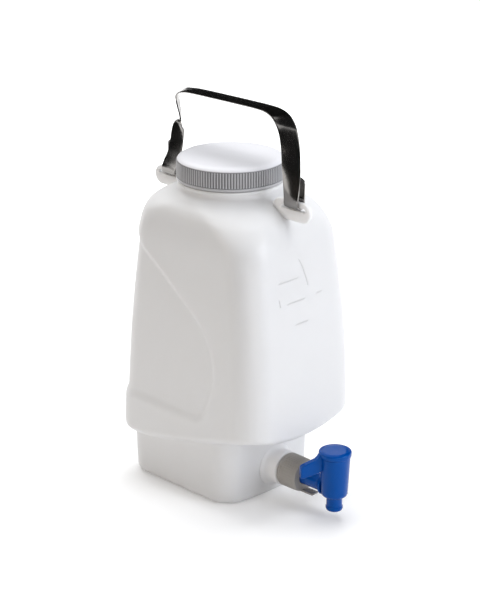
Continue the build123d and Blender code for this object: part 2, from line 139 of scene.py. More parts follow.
def softbox(name, place, aim, width, height, power, colour, mirrored=True):
    """An area lamp at place, turned towards aim. Polished parts mirror it only if mirrored is set."""
    lamp = bpy.data.lights.new(name, "AREA")
    lamp.shape = "RECTANGLE"
    lamp.size = width
    lamp.size_y = height
    lamp.energy = power
    lamp.color = colour
    holder = bpy.data.objects.new(name, lamp)
    holder.location = place
    holder.rotation_euler = (Vector(aim) - Vector(place)).to_track_quat("-Z", "Y").to_euler()
    holder.visible_glossy = mirrored
    bpy.context.scene.collection.objects.link(holder)


softbox("overhead_softbox", (0.25, 0.35, 1.7), (0, 0, 0.1), 1.5, 1.2, 31, (0.98, 0.99, 1.0), mirrored=False)
softbox("tap_side_softbox", (0.55, -1.7, 0.75), (0, 0, 0.15), 0.9, 1.1, 17.5, (0.90, 0.93, 1.0))
softbox("left_softbox", (-1.8, 0.5, 0.6), (0, 0, 0.15), 0.8, 1.0, 4.8, (1.0, 0.84, 0.68))
softbox("foot_fill", (-0.55, -1.0, 0.16), (0, 0, 0.04), 0.6, 0.2, 1.1, (1.0, 0.95, 0.9))

card_black = bpy.data.materials.new("card_black")
card_black.use_nodes = True
card_black.node_tree.nodes["Principled BSDF"].inputs["Base Color"].default_value = (0.01, 0.01, 0.01, 1)
card_black.node_tree.nodes["Principled BSDF"].inputs["Roughness"].default_value = 1.0


def dark_card(name, place, aim, width, height):
    """A black card that only glossy surfaces see."""
    bpy.ops.object.select_all(action="DESELECT")
    bpy.ops.mesh.primitive_plane_add(size=1.0)
    card = bpy.context.object
    card.name = name
    card.scale = (width, height, 1)
    card.location = place
    card.rotation_euler = (Vector(aim) - Vector(place)).to_track_quat("Z", "Y").to_euler()
    card.visible_camera = False
    card.visible_diffuse = False
    card.visible_shadow = False
    card.visible_transmission = False
    card.data.materials.append(card_black)


dark_card("card_behind", (1.5, 1.45, 1.15), (0, 0, 0.35), 3.6, 1.5)
dark_card("card_camera", (-1.9, -1.8, 1.1), (0, 0, 0.35), 2.4, 1.9)
dark_card("card_left_back", (-0.72, 0.70, 0.36), (0, 0, 0.36), 1.5, 0.7)
dark_card("card_left", (-1.0, -0.25, 0.36), (0, 0, 0.36), 1.2, 0.7)
dark_card("card_camera_low", (-0.72, -1.0, 0.42), (0, 0, 0.36), 0.8, 0.5)
dark_card("card_left_high", (-1.3, 1.25, 1.3), (0, 0, 0.35), 2.4, 1.2)
dark_card("card_right", (1.7, -0.9, 1.5), (0, 0, 0.35), 1.7, 1.7)
dark_card("card_camera_high", (-0.35, -0.8, 1.7), (0, 0, 0.35), 1.5, 1.3)
dark_card("card_right_high", (1.2, 0.5, 1.65), (0, 0, 0.35), 2.2, 1.6)
dark_card("card_top", (0.1, -0.1, 2.3), (0, 0, 0.35), 1.8, 1.8)

# ---- Bottle body -------------------------------------------------------------------------------------
# One blow-moulded shell of milky polyethylene. A belly leans out over a narrower foot, its sides and back
# carry a recessed panel with an arched front edge, and a round neck stands on soft shoulders.
mm = 0.001
_, body_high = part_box("bottle_body")
rim_z = body_high.z / mm
wall = 2.4
sides = 240                # points round the shell
spacing_outline = (73.5, 95.0, 86.0, 28.0)    # half width, front, back, corner: the points lie evenly on it
levels = [
    # height, half width, front, back, corner radius
    (44.0, 74.0, 98.0, 90.0, 28.0),
    (72.0, 74.0, 98.5, 89.2, 28.0),
    (114.0, 73.5, 98.5, 86.5, 28.0),
    (156.0, 72.5, 96.5, 83.5, 28.0),
    (198.0, 71.0, 92.5, 79.5, 28.0),
    (235.0, 69.5, 87.5, 75.5, 29.0),
    (260.7, 68.5, 84.0, 72.5, 32.0),
    (277.0, 66.0, 75.0, 70.5, 37.0),
    (286.3, 62.0, 64.0, 67.0, 43.0),
    (292.3, 55.5, 55.0, 59.5, 49.0),
    (296.8, 50.8, 50.8, 51.6, 50.4),
    (301.0, 49.4, 49.4, 49.4, 49.4),
]
neck_rings = [
    # radius, height: the support bead, the threaded neck and its lip
    (49.5, 301.9), (50.1, 302.6), (50.2, 303.2), (50.2, 304.4), (49.9, 305.0), (47.0, 305.3),
    (46.4, 305.9), (46.4, 308.0), (46.4, 314.0), (46.4, rim_z - 1.0), (46.1, rim_z - 0.3), (45.6, rim_z),
]
foot_half, foot_front, foot_back, foot_bow = 61.0, 50.0, 85.5, 9.0
foot_front_corner, foot_back_corner = 19.0, 26.0
foot_draft = math.tan(math.radians(1.2))
foot_edge = 7.0
sole_hollow = 1.2          # how far the sole rises to its middle
belly_front = 98.5
under_back_z, under_front_z, under_kink_y = 48.0, 77.0, 44.5
under_kink_soft = 120.0    # square of the length over which the underside bends upwards
under_slope = (under_front_z - under_back_z) / (belly_front + under_kink_y)
under_arch = 12.0          # how much the underside's front edge rises from its middle to its corners
under_arch_level = 0.55    # the share of it by which the middle lies below the plain slope
under_edge, under_root = 7.5, 4.0
under_edge_share, under_root_share = 0.55, 0.35    # the most that each may take of the overhang
foot_top_z, belly_low_z = 58.0, 60.0               # where the overhang is measured
panel_low_z, panel_front_y, panel_turn_z, panel_slope = 90.0, -47.0, 172.0, 0.726
panel_toe, panel_arch, panel_depth, panel_step = 25.0, 70.0, 2.6, 5.0
panel_toe_soft = 0.45      # the lower step is spread over more height than the arched one


def through(rows, steps):
    """A smooth run of values through all rows, with so many steps from one row to the next."""
    rows = np.array(rows, float)
    ends = np.vstack([2 * rows[0] - rows[1], rows, 2 * rows[-1] - rows[-2]])
    t = np.linspace(0, 1, steps, endpoint=False)[:, None]
    runs = []
    for a, b, c, d in zip(ends, ends[1:], ends[2:], ends[3:]):
        runs.append(0.5 * (2 * b + (c - a) * t + (2 * a - 5 * b + 4 * c - d) * t ** 2
                           + (3 * b - a - 3 * c + d) * t ** 3))
    return np.vstack(runs + [rows[-1:]])


def rounded(angle, half, front, back, corner):
    """Where rays at these angles meet a rounded rectangle, and the outward normals there."""
    middle, reach = (back - front) / 2, (back + front) / 2
    dx, dy = np.abs(np.cos(angle)), np.abs(np.sin(angle))
    dx, dy = np.maximum(dx, 1e-9), np.maximum(dy, 1e-9)
    cx, cy = half - corner, reach - corner
    along = dx * cx + dy * cy
    to_corner = along + np.sqrt(np.maximum(along ** 2 - cx ** 2 - cy ** 2 + corner ** 2, 0))
    on_side = half * dy / dx <= cy
    on_end = reach * dx / dy <= cx
    far = np.where(on_side, half / dx, np.where(on_end, reach / dy, to_corner))
    nx = np.where(on_side, 1.0, np.where(on_end, 0.0, (far * dx - cx) / corner))
    ny = np.where(on_side, 0.0, np.where(on_end, 1.0, (far * dy - cy) / corner))
    return (far * np.cos(angle), far * np.sin(angle) + middle,
            nx * np.sign(np.cos(angle)), ny * np.sign(np.sin(angle)))


def even_angles(count):
    """Ray angles that space the points evenly round the belly."""
    fine = np.linspace(0, 2 * math.pi, 4001)
    x, y, _, _ = rounded(fine, *spacing_outline)
    run = np.concatenate([[0], np.cumsum(np.hypot(np.diff(x), np.diff(y)))])
    return np.interp(np.linspace(0, run[-1], count + 1), run, fine)


rays = even_angles(sides)
belly = through(levels, 24)


def belly_ring(z):
    """The belly's outline at heights z, one height for each ray."""
    half, front, back, corner = (np.interp(z, belly[:, 0], belly[:, k]) for k in (1, 2, 3, 4))
    return rounded(rays, half, front, back, corner)


def foot_ring(z):
    """The foot's outline at heights z: a rounded rectangle with a bowed front."""
    grown = foot_draft * z
    corner = np.where(np.sin(rays) < 0, foot_front_corner, foot_back_corner)
    x, y, nx, ny = rounded(rays, foot_half + grown, foot_front + grown, foot_back + grown, corner)
    front_share = np.clip((-y - foot_front + foot_front_corner) / foot_front_corner, 0, 1)
    y = y - foot_bow * (1 - (x / foot_half) ** 2).clip(0) * front_share ** 2 * (3 - 2 * front_share)
    return x, y, nx, ny


def under_z(x, y):
    """Height of the belly's underside: level behind, then rising to the front and its corners."""
    past = under_kink_y - y
    share = np.clip(past / (belly_front + under_kink_y), 0, 1)
    arch = under_arch * ((x / foot_half) ** 2 - under_arch_level) * share ** 2
    return under_back_z + under_slope * (past + np.sqrt(past ** 2 + under_kink_soft)) / 2 + arch


def panel_distance(y, z):
    """How far a point lies inside the recessed panel's outline, in side view."""
    lean = math.hypot(1, panel_slope)
    from_toe, from_front = (z - panel_low_z) * panel_toe_soft, y - panel_front_y
    from_arch = (panel_turn_z + panel_slope * (y - panel_front_y) - z) / lean
    inside = np.minimum(np.minimum(from_toe, from_front), from_arch)
    in_toe = (from_toe < panel_toe) & (from_front < panel_toe)
    inside = np.where(in_toe, panel_toe - np.hypot(panel_toe - from_toe, panel_toe - from_front), inside)
    centre_y = panel_front_y + panel_arch
    centre_z = panel_turn_z + panel_slope * panel_arch - panel_arch * lean
    off_y, off_z = y - centre_y, z - centre_z
    arch_share = off_z * lean
    front_share = -off_y - off_z * panel_slope
    in_arch = (arch_share > 0) & (front_share > 0)
    return np.where(in_arch, panel_arch - np.hypot(off_y, off_z), inside)


def recessed(x, y, z, nx, ny):
    """Points of the belly pushed in where the panel lies."""
    share = np.clip(panel_distance(y, z) / panel_step + 0.5, 0, 1)
    depth = panel_depth * share ** 2 * (3 - 2 * share)
    return x - nx * depth, y - ny * depth, z


# The sole and its rounded edge.
rings = []
edge_x, edge_y, edge_nx, edge_ny = foot_ring(np.zeros(sides + 1))
for share in (0.0, 0.3, 0.6, 0.85):
    x = share * (edge_x - edge_nx * foot_edge)
    y = share * (edge_y - edge_ny * foot_edge) + (1 - share) * (foot_back - foot_front) / 2
    rings.append((x, y, np.full(sides + 1, sole_hollow * (1 - share))))
for turn in np.radians(np.linspace(0, 90, 8)):
    z = np.full(sides + 1, foot_edge * (1 - math.cos(turn)))
    x, y, nx, ny = foot_ring(z)
    pull = foot_edge * (1 - math.sin(turn))
    rings.append((x - nx * pull, y - ny * pull, z))

# The foot's wall, the root and level of the overhang, and the belly's lower edge.
top_x, top_y, top_nx, top_ny = foot_ring(np.full(sides + 1, foot_top_z))
out_x, out_y, out_nx, out_ny = belly_ring(np.full(sides + 1, belly_low_z))
gap = np.hypot(out_x - top_x, out_y - top_y)
root = np.minimum(under_root, under_root_share * gap)
edge = np.minimum(under_edge, under_edge_share * gap)
for share in np.linspace(0, 1, 19)[1:]:
    z = foot_edge + share * (under_z(top_x, top_y) - root - foot_edge)
    wall_x, wall_y, _, _ = foot_ring(z)
    rings.append((wall_x, wall_y, z))
for turn in np.radians(np.linspace(0, 90, 5)[1:]):
    out = root * (1 - math.cos(turn))
    rings.append((wall_x + top_nx * out, wall_y + top_ny * out,
                  under_z(top_x, top_y) - root * (1 - math.sin(turn))))
start_x, start_y, _ = rings[-1]
stop_x, stop_y = out_x - out_nx * edge, out_y - out_ny * edge
for share in np.linspace(0, 1, 6)[1:]:
    x, y = start_x + share * (stop_x - start_x), start_y + share * (stop_y - start_y)
    rings.append((x, y, under_z(x, y)))
for turn in np.radians(np.linspace(0, 90, 9)[1:]):
    z = under_z(stop_x, stop_y) + edge * (1 - math.cos(turn))
    x, y, nx, ny = belly_ring(z)
    pull = edge * (1 - math.sin(turn))
    rings.append(recessed(x - nx * pull, y - ny * pull, z, nx, ny))

# The belly: rings that start along its lower edge and come level, then level ones, shoulder and neck.
belly_start = under_z(stop_x, stop_y) + edge
level_start, shoulder_start = 150.0, 258.0
shoulder_gap = 1.5         # the least height from the last level ring to the first one of the shoulder
for share in np.linspace(0, 1, 34)[1:]:
    z = belly_start + share * (level_start - belly_start)
    x, y, nx, ny = belly_ring(z)
    rings.append(recessed(x, y, z, nx, ny))
for height in np.linspace(level_start, shoulder_start, 50)[1:]:
    z = np.full(sides + 1, height)
    x, y, nx, ny = belly_ring(z)
    rings.append(recessed(x, y, z, nx, ny))
for height, half, front, back, corner in belly[belly[:, 0] > shoulder_start + shoulder_gap][::4]:
    x, y, nx, ny = rounded(rays, half, front, back, corner)
    rings.append(recessed(x, y, np.full(sides + 1, height), nx, ny))
for radius, height in neck_rings:
    rings.append((radius * np.cos(rays), radius * np.sin(rays), np.full(sides + 1, height)))


def wrapped(name, rings):
    """A grid laid over the points of rings, in millimetres: the first counts rings, the second points."""
    rings = np.array(rings, float)
    bpy.ops.object.select_all(action="DESELECT")
    steps_up, steps_across = rings.shape[0] - 1, rings.shape[1] - 1
    bpy.ops.mesh.primitive_grid_add(x_subdivisions=steps_across, y_subdivisions=steps_up, size=1.0)
    piece = bpy.context.object
    piece.name = name
    flat = np.zeros(len(piece.data.vertices) * 3, np.float32)
    piece.data.vertices.foreach_get("co", flat)
    flat = flat.reshape(-1, 3)
    across = np.rint((flat[:, 0] + 0.5) * steps_across).astype(int)
    up = np.rint((flat[:, 1] + 0.5) * steps_up).astype(int)
    piece.data.vertices.foreach_set("co", (rings[up, across] * mm).astype(np.float32).ravel())
    return piece


def close_seams(piece, distance=0.00002):
    """Merges doubled points and turns all faces outwards."""
    bpy.context.view_layer.objects.active = piece
    bpy.ops.object.mode_set(mode="EDIT")
    bpy.ops.mesh.select_all(action="SELECT")
    bpy.ops.mesh.remove_doubles(threshold=distance)
    bpy.ops.mesh.normals_make_consistent(inside=False)
    bpy.ops.object.mode_set(mode="OBJECT")


def add_modifier(piece, kind, **settings):
    """Adds a modifier with these settings and applies it."""
    bpy.context.view_layer.objects.active = piece
    modifier = piece.modifiers.new(kind.lower(), kind)
    for name, value in settings.items():
        setattr(modifier, name, value)
    bpy.ops.object.modifier_apply(modifier=modifier.name)


def settle(piece, body, finish, smooth_angle=40.0):
    """Puts a piece's place into its mesh, smooths its shading and hangs it on its body."""
    bpy.ops.object.select_all(action="DESELECT")
    piece.select_set(True)
    bpy.context.view_layer.objects.active = piece
    bpy.ops.object.transform_apply(location=True, rotation=True, scale=True)
    bpy.ops.object.shade_smooth_by_angle(angle=math.radians(smooth_angle))
    piece.data.materials.clear()
    piece.data.materials.append(finish)
    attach(piece, body)


bottle = wrapped("bottle_shell", [np.array(ring).T for ring in rings])
close_seams(bottle)
add_modifier(bottle, "SOLIDIFY", thickness=wall * mm, offset=-1.0)


def plastic(name, colour, roughness, grain_size, grain_depth, mottle, subsurface=0.0, coat=0.0):
    """Moulded plastic: a fine grain in the surface and a faint unevenness of tone and gloss."""
    material = bpy.data.materials.new(name)
    material.use_nodes = True
    nodes, links = material.node_tree.nodes, material.node_tree.links
    shader = nodes["Principled BSDF"]
    place = nodes.new("ShaderNodeTexCoord")
    grain = nodes.new("ShaderNodeTexNoise")
    grain.inputs["Scale"].default_value = 1.0 / grain_size
    grain.inputs["Detail"].default_value = 3.0
    patch = nodes.new("ShaderNodeTexNoise")
    patch.inputs["Scale"].default_value = 28.0
    patch.inputs["Detail"].default_value = 2.0
    tone = nodes.new("ShaderNodeMapRange")
    tone.inputs["To Min"].default_value = 1.0 - mottle
    tone.inputs["To Max"].default_value = 1.0 + mottle
    tint = nodes.new("ShaderNodeVectorMath")
    tint.operation = "SCALE"
    tint.inputs[0].default_value = colour
    gloss = nodes.new("ShaderNodeMapRange")
    gloss.inputs["To Min"].default_value = roughness * 0.85
    gloss.inputs["To Max"].default_value = roughness * 1.15
    bump = nodes.new("ShaderNodeBump")
    bump.inputs["Strength"].default_value = 0.35
    bump.inputs["Distance"].default_value = grain_depth
    links.new(place.outputs["Object"], grain.inputs["Vector"])
    links.new(place.outputs["Object"], patch.inputs["Vector"])
    links.new(patch.outputs[0], tone.inputs["Value"])
    links.new(tone.outputs["Result"], tint.inputs["Scale"])
    links.new(tint.outputs["Vector"], shader.inputs["Base Color"])
    links.new(patch.outputs[0], gloss.inputs["Value"])
    links.new(gloss.outputs["Result"], shader.inputs["Roughness"])
    links.new(grain.outputs[0], bump.inputs["Height"])
    links.new(bump.outputs["Normal"], shader.inputs["Normal"])
    shader.inputs["Subsurface Weight"].default_value = subsurface
    shader.inputs["Subsurface Radius"].default_value = (1.0, 0.95, 0.9)
    shader.inputs["Subsurface Scale"].default_value = 0.012
    shader.inputs["Coat Weight"].default_value = coat
    shader.inputs["Coat Roughness"].default_value = 0.12
    return material


milky = plastic("milky_polyethylene", (0.805, 0.80, 0.80), 0.36, 0.0009, 0.00004, 0.012, subsurface=0.35)
settle(bottle, "bottle", milky, 180.0)
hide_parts("bottle_body")

# ---- Port, neck thread and level lines ---------------------------------------------------------------
# Moulded in one with the bottle: a stepped collar on the foot with a plain tube for the nut, a coarse thread
# round the neck under the cap, and thin raised level lines with their border on the front face.
port_z = 30.0
turned_points = 97         # points round a turned shape
full_turn = np.linspace(0, 2 * math.pi, turned_points)
neck_radius = 46.4
thread_pitch, thread_depth, thread_width = 6.0, 1.6, 2.2


def turned_upright(outline, x=0.0, y=0.0):
    """Rings of a shape turned about an upright axis: the outline gives radius and height."""
    return [np.stack([x + r * np.cos(full_turn), y + r * np.sin(full_turn), np.full(turned_points, z)], 1)
            for r, z in outline]


def turned_along_y(outline):
    """Rings of a shape turned about the port's axis: the outline gives radius and distance in front."""
    return [np.stack([r * np.cos(full_turn), np.full(turned_points, -y), port_z + r * np.sin(full_turn)], 1)
            for r, y in outline]


def helix_ridge(name, radius, start_z, pitch, turns, depth, width):
    """A thread ridge round the Z axis, tapered to nothing at both ends. A negative depth points inwards."""
    steps_per_turn, tapers_per_turn = 72, 8
    section = [
        # shares of the depth and of the width
        (-0.3, -0.5), (0.75, -0.30), (1.0, -0.18), (1.0, 0.18), (0.75, 0.30), (-0.3, 0.5), (-0.3, -0.5)]
    rings = []
    for share in np.linspace(0, 1, int(turns * steps_per_turn) + 1):
        size = min(1.0, share * turns * tapers_per_turn, (1 - share) * turns * tapers_per_turn)
        turn = 2 * math.pi * turns * share
        middle_z = start_z + pitch * turns * share
        ring = []
        for out, up in section:
            reach = radius + out * size * depth
            ring.append((reach * math.cos(turn), reach * math.sin(turn), middle_z + up * width * size))
        rings.append(ring)
    return wrapped(name, rings)


port_outline = [
    # radius, distance in front of the neck's axis: the flared collar, then the tube inside the nut
    (7.5, 55.0), (22.5, 55.0), (21.8, 58.6), (20.4, 60.0), (18.8, 60.8), (18.0, 61.8), (17.6, 63.2),
    (17.2, 64.2), (17.0, 66.0), (17.0, 72.8), (16.8, 73.6), (16.2, 74.3), (15.4, 74.6), (10.1, 74.6),
    (10.1, 88.0), (9.7, 88.5), (7.9, 88.5), (7.5, 88.1), (7.5, 55.0),
]
port = wrapped("port_collar", turned_along_y(port_outline))
close_seams(port)
settle(port, "bottle", milky, 50.0)
neck_thread = helix_ridge("neck_thread", neck_radius, rim_z - 13.1, thread_pitch, turns=1.6,
                          depth=thread_depth, width=thread_width)
close_seams(neck_thread)
settle(neck_thread, "bottle", milky, 50.0)

level_lines = [
    # raised strips on the front face, each as a row of (x, height) points
    [(-32, 228), (0, 228)], [(-23, 207), (6, 207)], [(-14, 185.5), (8, 185.5)], [(18, 208.5), (28, 208.5)],
    [(0, 246), (4, 238), (7, 229), (9.5, 217)], [(-30, 214), (-29, 206)],
]
line_width, line_rise, line_sunk = 1.6, 0.3, 0.3
line_parts = []
for points in level_lines:
    path = through(points, 8)
    along = np.gradient(path, axis=0)
    side = np.stack([-along[:, 1], along[:, 0]], 1) / np.hypot(along[:, 0], along[:, 1])[:, None]
    opened = np.ones(len(path))
    opened[[0, -1]] = 0        # a line closes to a point at both ends
    strip = []
    for (x, z), (side_x, side_z), end in zip(path, side, opened):
        row = []
        for turn in np.linspace(0, 2 * math.pi, 9):
            off = math.cos(turn) * line_width / 2 * end
            proud = -line_sunk + (line_rise + line_sunk) * max(0.0, math.sin(turn)) * end
            row.append((x + side_x * off, z + side_z * off, proud))
        strip.append(row)
    strip = np.array(strip)
    front = np.interp(strip[..., 1], belly[:, 0], belly[:, 2])
    strip = np.stack([strip[..., 0], -front - strip[..., 2], strip[..., 1]], 2)
    line_parts.append(wrapped("level_line", strip))
    close_seams(line_parts[-1], 0.00001)


def joined(name, parts):
    """Several meshes made one piece."""
    bpy.ops.object.select_all(action="DESELECT")
    for part in parts:
        part.select_set(True)
    bpy.context.view_layer.objects.active = parts[0]
    if len(parts) > 1:
        bpy.ops.object.join()
    parts[0].name = name
    return parts[0]


level_marks = joined("level_marks", line_parts)
settle(level_marks, "bottle", milky, 60.0)

# ---- Handle ears -------------------------------------------------------------------------------------
# Two upright fins moulded on the shoulder, in front and behind. Each has a long slot, and the web of
# plastic over the slot is what the steel strap hangs on.
ear_inner, ear_outer, ear_low, ear_high = 55.0, 101.0, 280.5, 299.5
slot_in, slot_out, slot_low, slot_high = 66.0, 95.5, 291.4, 294.5
ear_half = 2.5
ear_section = [
    # how far out along X, how much the outline is grown there, and whether it is the slot's outline
    (-1.7, 0.0, True), (-2.3, 0.25, True), (-ear_half, 0.8, True), (-ear_half, -1.6, False),
    (-2.2, -0.6, False), (-1.5, -0.1, False), (0.0, 0.0, False), (1.5, -0.1, False), (2.2, -0.6, False),
    (ear_half, -1.6, False), (ear_half, 0.8, True), (2.3, 0.25, True), (1.7, 0.0, True), (-1.7, 0.0, True),
]


def stadium(y_low, y_high, z_low, z_high, grow):
    """The outline of a bar with round ends, grown all round."""
    end_points = 25
    radius = (z_high - z_low) / 2
    middle_z = (z_high + z_low) / 2
    turn = np.radians(np.concatenate([np.linspace(-90, 90, end_points), np.linspace(90, 270, end_points),
                                      [-90]]))
    ends = np.concatenate([np.full(end_points, y_high - radius), np.full(end_points, y_low + radius),
                           [y_high - radius]])
    return ends + (radius + grow) * np.cos(turn), middle_z + (radius + grow) * np.sin(turn)


for side, name in ((-1, "ear_front"), (1, "ear_back")):
    ear_rings = []
    for out, grow, of_slot in ear_section:
        if of_slot:
            y, z = stadium(slot_in, slot_out, slot_low, slot_high, grow)
        else:
            y, z = stadium(ear_inner, ear_outer, ear_low, ear_high, grow)
        ear_rings.append(np.stack([np.full(len(y), out), side * y, z], 1))
    ear = wrapped(name, ear_rings)
    close_seams(ear)
    settle(ear, "bottle", milky, 50.0)

# ---- Screw cap ---------------------------------------------------------------------------------------
# An injection-moulded cap with fine upright ribs over a plain band, a soft top edge and a slightly
# crowned top. Its inside carries a thread and a foam liner that seals on the neck's rim.
cap_ribs = 120
rib_points = 4             # points round the cap for each rib
cap_bore = 48.5
cap_turn_angles = np.linspace(0, 2 * math.pi, cap_ribs * rib_points + 1)
rib_wave = np.where(np.arange(cap_ribs * rib_points + 1) % rib_points < 2, 1.0, 0.0)
cap_outline = [
    # radius, height, how far the ribs stand out there
    (0.0, 327.7, 0), (20.0, 327.7, 0), (36.0, 327.6, 0), (42.0, 327.5, 0), (45.0, 327.3, 0),
    (47.2, 326.8, 0), (48.9, 325.9, 0), (50.0, 324.8, 0), (50.4, 324.0, 0), (50.5, 323.6, 0.0),
    (50.5, 323.2, 0.85), (50.5, 322.6, 1), (50.5, 309.6, 1), (50.5, 309.0, 0.85), (50.5, 308.7, 0.1),
    (50.6, 308.6, 0), (51.1, 308.4, 0), (51.3, 308.1, 0), (51.3, 306.5, 0), (51.15, 306.15, 0),
    (50.8, 306.0, 0), (49.0, 306.0, 0), (48.6, 306.3, 0), (cap_bore, 306.8, 0), (cap_bore, 321.8, 0),
    (48.0, 322.5, 0), (24.0, 322.5, 0), (0.0, 322.5, 0)]
rib_rise = 0.75
cap = wrapped("cap_shell", [
    np.stack([(r + rib_rise * rib * rib_wave) * np.cos(cap_turn_angles),
              (r + rib_rise * rib * rib_wave) * np.sin(cap_turn_angles), np.full(len(rib_wave), z)], 1)
    for r, z, rib in cap_outline])
close_seams(cap)
cap_thread = helix_ridge("cap_thread", cap_bore, rim_z - 10.1, thread_pitch, turns=1.4,
                         depth=-thread_depth, width=thread_width)
close_seams(cap_thread)
cap = joined("cap_shell", [cap, cap_thread])
cap_white = plastic("cap_polypropylene", (0.75, 0.75, 0.78), 0.34, 0.0007, 0.00003, 0.012)


def paint_groove_shade(finish, low_radius, high_radius, deep_tone, crest_tone):
    """Painted shade between the ribs: the colour falls off towards the roots, round the Z axis."""
    ribs_end_z, top_starts_z = 0.3234, 0.3246    # from the one to the other the top's own colour takes over
    nodes, links = finish.node_tree.nodes, finish.node_tree.links
    shader = nodes["Principled BSDF"]
    place = nodes.new("ShaderNodeTexCoord")
    flat_place = nodes.new("ShaderNodeVectorMath")
    flat_place.operation = "MULTIPLY"
    flat_place.inputs[1].default_value = (1, 1, 0)
    radius = nodes.new("ShaderNodeVectorMath")
    radius.operation = "LENGTH"
    fall = nodes.new("ShaderNodeMapRange")
    fall.inputs["From Min"].default_value = low_radius
    fall.inputs["From Max"].default_value = high_radius
    fall.inputs["To Min"].default_value = deep_tone
    fall.inputs["To Max"].default_value = crest_tone
    split = nodes.new("ShaderNodeSeparateXYZ")
    band = nodes.new("ShaderNodeMapRange")
    band.inputs["From Min"].default_value = ribs_end_z
    band.inputs["From Max"].default_value = top_starts_z
    lift = nodes.new("ShaderNodeMath")
    lift.operation = "MAXIMUM"
    shade = nodes.new("ShaderNodeVectorMath")
    shade.operation = "SCALE"
    old = shader.inputs["Base Color"].links[0].from_socket
    links.new(place.outputs["Object"], flat_place.inputs[0])
    links.new(flat_place.outputs["Vector"], radius.inputs[0])
    links.new(radius.outputs["Value"], fall.inputs["Value"])
    links.new(place.outputs["Object"], split.inputs[0])
    links.new(split.outputs["Z"], band.inputs["Value"])
    links.new(fall.outputs["Result"], lift.inputs[0])
    links.new(band.outputs["Result"], lift.inputs[1])
    links.new(lift.outputs[0], shade.inputs["Scale"])
    links.new(old, shade.inputs[0])
    links.new(shade.outputs["Vector"], shader.inputs["Base Color"])


# Painted shade: the cap's ribbed band is coloured darker towards the rib roots, and the top keeps its own
# colour.
paint_groove_shade(cap_white, low_radius=0.05055, high_radius=0.05120, deep_tone=0.22, crest_tone=0.60)
settle(cap, "cap", cap_white, 40.0)
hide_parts("screw_cap")
liner_foam = plastic("liner_foam", (0.78, 0.78, 0.75), 0.75, 0.0009, 0.0001, 0.03)
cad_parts["cap_liner"].data.materials.clear()
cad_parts["cap_liner"].data.materials.append(liner_foam)

# ---- Strap handle ------------------------------------------------------------------------------------
# One polished stainless strap. Its bar is flat on top, each leg turns a quarter on its way down, passes
# through the ear's slot and is folded up again behind the ear. The ends are rounded.
strap_half, strap_thick, strap_crown = 8.5, 1.2, 0.25
strap_path = [
    # y, z, x, degrees that the width has turned from X towards Y: back tail first
    (80.0, 326, 4.4, 90), (80.0, 312, 4.4, 90), (80.0, 301, 4.4, 90), (80.0, 296.8, 4.3, 90),
    (80.0, 293.9, 3.0, 90), (80.0, 292.9, 0, 90), (80.0, 293.9, -3.0, 90), (80.0, 297.0, -4.3, 90),
    (77.4, 303, -4.5, 90), (72.8, 311, -4.5, 90), (70.0, 319, -4.4, 90), (68.2, 328, -4.0, 88),
    (67.0, 337, -3.6, 86), (65.6, 343.5, -3.2, 78), (64.6, 347, -2.6, 54), (64.4, 351, -2.0, 44),
    (66.0, 356, -1.3, 43), (68.4, 362, -0.8, 41), (69.8, 368, -0.4, 37), (68.0, 373.5, 0, 30),
    (62.5, 377.4, 0, 22), (54.0, 379.2, 0, 12), (44.0, 379.8, 0, 4), (20, 380, 0, 0), (-20, 380, 0, 0),
    (-40, 379.8, 0, -4), (-52, 378.8, 0, -12), (-61.0, 375.4, 0, -22), (-67.5, 369.5, 0, -32),
    (-71.8, 362, -0.3, -38), (-74.6, 353, -0.9, -42), (-76.6, 344, -1.6, -48), (-78.2, 333, -2.6, -58),
    (-79.6, 322, -3.4, -70), (-80.2, 311, -4.2, -82), (-80.2, 303, -4.5, -90), (-80.0, 297.0, -4.3, -90),
    (-80.0, 293.9, -3.0, -90), (-80.0, 292.9, 0, -90), (-80.0, 293.9, 3.0, -90), (-80.0, 296.8, 4.3, -90),
    (-80.0, 301, 4.4, -90), (-80.4, 312, 4.4, -90), (-81.0, 321, 4.4, -90)]
path = through(strap_path, 7)
centre = path[:, [2, 0, 1]]
along = np.gradient(centre, axis=0)
along /= np.linalg.norm(along, axis=1)[:, None]
turn = np.radians(path[:, 3])
width_way = np.stack([np.cos(turn), np.sin(turn), np.zeros(len(turn))], 1)
width_way -= along * (width_way * along).sum(1)[:, None]
width_way /= np.linalg.norm(width_way, axis=1)[:, None]
run = np.concatenate([[0], np.cumsum(np.linalg.norm(np.diff(centre, axis=0), axis=1))])
end_round = 5.0
from_end = np.minimum(run, run[-1] - run)
half = strap_half - end_round + np.sqrt(end_round ** 2 - (end_round - np.minimum(from_end, end_round)) ** 2)
across = np.linspace(-1, 1, 13)
crown = strap_crown * (1 - across ** 2)
strap_way = np.cross(along, width_way)
strap = wrapped("steel_strap", [c + np.outer(across * h, w) + np.outer(crown, n)
                                for c, h, w, n in zip(centre, half, width_way, strap_way)])
add_modifier(strap, "SOLIDIFY", thickness=strap_thick * mm, offset=0.0)
add_modifier(strap, "BEVEL", width=0.3 * mm, segments=2, limit_method="ANGLE", angle_limit=math.radians(50))
close_seams(strap, 0.000002)


